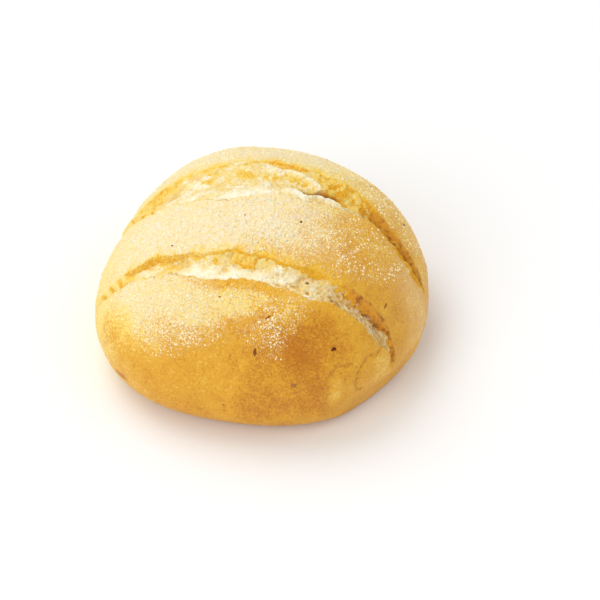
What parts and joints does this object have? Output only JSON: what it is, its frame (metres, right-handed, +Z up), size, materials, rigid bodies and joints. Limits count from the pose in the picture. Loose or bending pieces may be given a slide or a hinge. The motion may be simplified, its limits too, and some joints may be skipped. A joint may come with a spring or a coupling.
{
  "type": "bread roll",
  "caption": "Round crusty bread roll with two torn scores across the top, a semolina dusting, bran flecks and a flat base.",
  "frame": {"origin": "on the tray plane, under the middle of the roll", "axes": "+Z up from the flat base, +X along the two scores, +Y from the front score towards the back one"},
  "size_m": [0.0876, 0.0876, 0.0494],
  "materials": {
    "crust": "golden baked crust, satin to matt, roughness about 0.6",
    "crumb": "pale open crumb, matt, roughness about 0.85",
    "semolina": "dry cream-yellow grains, matt, roughness about 0.7",
    "bran": "dark brown husk flakes, matt, roughness about 0.7"
  },
  "bodies": {
    "root": {"bread_roll": "crust"}
  },
  "joints": []
}
